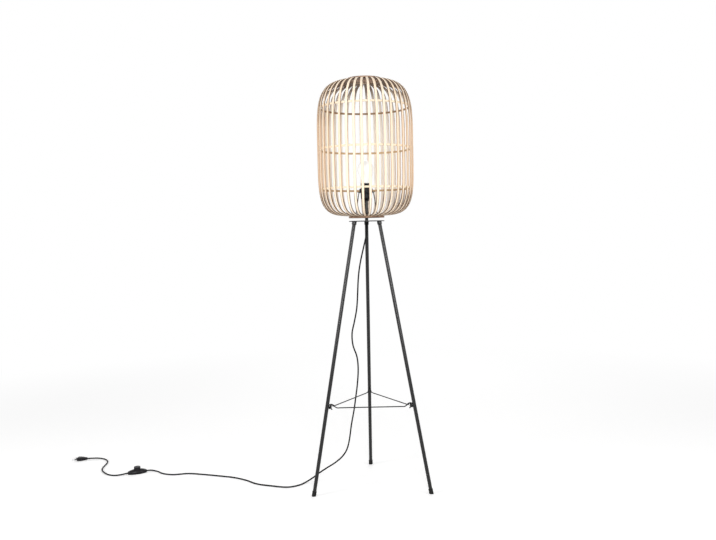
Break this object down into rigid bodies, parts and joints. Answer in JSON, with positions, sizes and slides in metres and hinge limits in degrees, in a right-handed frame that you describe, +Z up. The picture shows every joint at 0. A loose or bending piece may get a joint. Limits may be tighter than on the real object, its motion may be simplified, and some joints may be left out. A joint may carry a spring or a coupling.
{
  "type": "rattan floor lamp",
  "caption": "Floor lamp with a squared globe shade of upright rattan slats on a black steel tripod, with a wire brace, a bulb, a foot switch and a corded plug.",
  "frame": {"origin": "on the floor, under the middle of the lamp's footprint without its cord; the lamp's own upright axis is 34.6 mm in front of it", "axes": "+Z up, +Y from the middle towards the back leg, +X to the right as seen from the front"},
  "size_m": [1.3313, 0.5115, 1.3515],
  "materials": {
    "black_steel": "satin black powder coat",
    "black_rubber": "matte",
    "black_cord": "matte extruded sheath",
    "black_plastic": "fine satin moulding",
    "rattan": "pale split rattan, thin matte lacquer, brown edges",
    "brown_wood": "brown stained, matte",
    "brass": "plain pressed brass",
    "steel": "plain drawn and plated",
    "ceramic": "glazed porcelain insulator",
    "frosted_glass": "white frosted bulb glass"
  },
  "bodies": {
    "lamp": {"leg_back": "black_steel", "foot_cap_back": "black_rubber", "wing_nut_back": "black_steel", "leg_left": "black_steel", "foot_cap_left": "black_rubber", "wing_nut_left": "black_steel", "leg_right": "black_steel", "foot_cap_right": "black_rubber", "wing_nut_right": "black_steel", "tripod_plate": "black_steel", "brace_wire": "black_steel", "stem_tube": "black_steel", "shade_carrier": "black_steel", "cord_gland": "black_cord", "inner_lead": "black_cord", "cord_to_switch": "black_cord", "cord_to_plug": "black_cord", "holder_cap": "black_plastic", "holder_body": "black_plastic", "shade_collar": "black_plastic", "switch_base": "black_plastic", "switch_cover": "black_plastic", "plug_body": "black_plastic", "holder_insulator": "ceramic", "holder_contact": "brass", "holder_shell": "brass", "switch_spring": "steel", "plug_pin_left": "steel", "plug_pin_right": "steel", "base_ring": "brown_wood", "top_disc": "brown_wood", "hoop_low": "rattan", "hoop_middle": "rattan", "hoop_high": "rattan", "slat_pair_01": "rattan", "slat_pair_02": "rattan", "slat_pair_03": "rattan", "slat_pair_04": "rattan", "slat_pair_05": "rattan", "slat_pair_06": "rattan", "slat_pair_07": "rattan", "slat_pair_08": "rattan", "slat_pair_09": "rattan", "slat_pair_10": "rattan", "slat_pair_11": "rattan", "slat_pair_12": "rattan", "slat_pair_13": "rattan", "slat_pair_14": "rattan", "slat_pair_15": "rattan", "slat_pair_16": "rattan", "slat_pair_17": "rattan", "slat_pair_18": "rattan", "slat_pair_19": "rattan", "slat_pair_20": "rattan"},
    "bulb": {"bulb_cap": "brass", "bulb_glass": "frosted_glass", "bulb_mount": "steel"},
    "button": {"switch_button": "black_plastic"}
  },
  "joints": [
    {"name": "bulb_turn", "type": "hinge", "parent": "lamp", "child": "bulb", "pos_m": [0, -0.03464, 1], "axis": [0, 0, 1], "continuous": true},
    {"name": "switch_press", "type": "slide", "parent": "lamp", "child": "button", "axis": [0, 0, -1], "range_m": [0, 0.003], "stiffness_N_per_m": 400, "springref_m": -0.003, "deforming": ["switch_spring"]}
  ]
}
